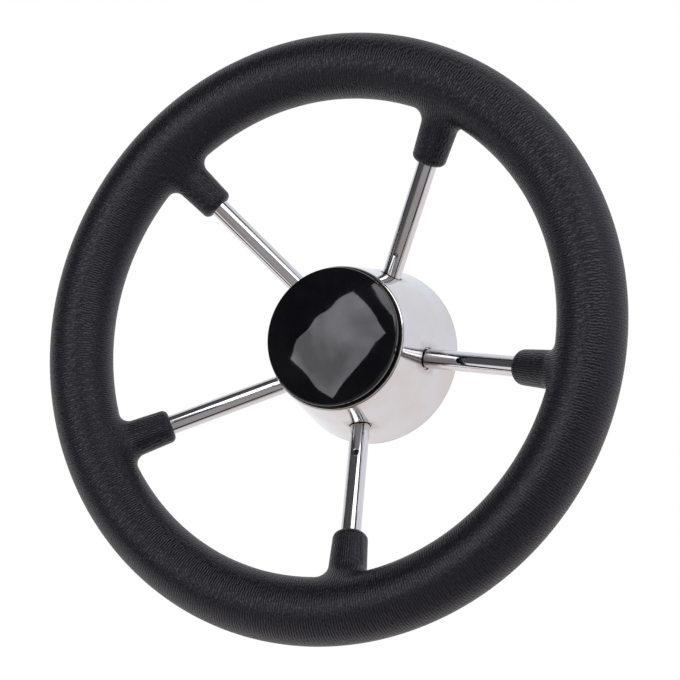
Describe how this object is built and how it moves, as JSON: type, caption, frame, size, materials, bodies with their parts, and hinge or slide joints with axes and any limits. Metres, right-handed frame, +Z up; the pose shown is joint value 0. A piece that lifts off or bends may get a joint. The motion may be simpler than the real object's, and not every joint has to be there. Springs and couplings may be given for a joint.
{
  "type": "boat steering wheel",
  "caption": "Dished stainless boat steering wheel with a thick black foam grip, straight polished spokes, a conical hub skirt and a black domed centre cap.",
  "frame": {"origin": "centre of the tapered bore's large end, on the rear face of the boss", "axes": "+Y along the shaft axis to the rear, towards the helm; the wheel's front faces -Y; +Z up, with one spoke straight down; +X to the right, seen from the front"},
  "size_m": [0.3428, 0.0971, 0.3428],
  "materials": {
    "grip": "satin skin of moulded foam with a fine leather grain",
    "ring": "bare drawn rod, hidden",
    "spoke": "mirror polished",
    "skirt": "mirror polished",
    "boss": "turned",
    "fastener": "plain",
    "cap": "gloss black"
  },
  "bodies": {
    "root": {"foam_grip": "grip", "rim_ring": "ring", "spoke_1": "spoke", "spoke_2": "spoke", "spoke_3": "spoke", "spoke_4": "spoke", "spoke_5": "spoke", "hub_shell": "skirt", "hub_boss": "boss", "shaft_washer": "fastener", "shaft_nut": "fastener", "centre_cap": "cap"}
  },
  "joints": []
}
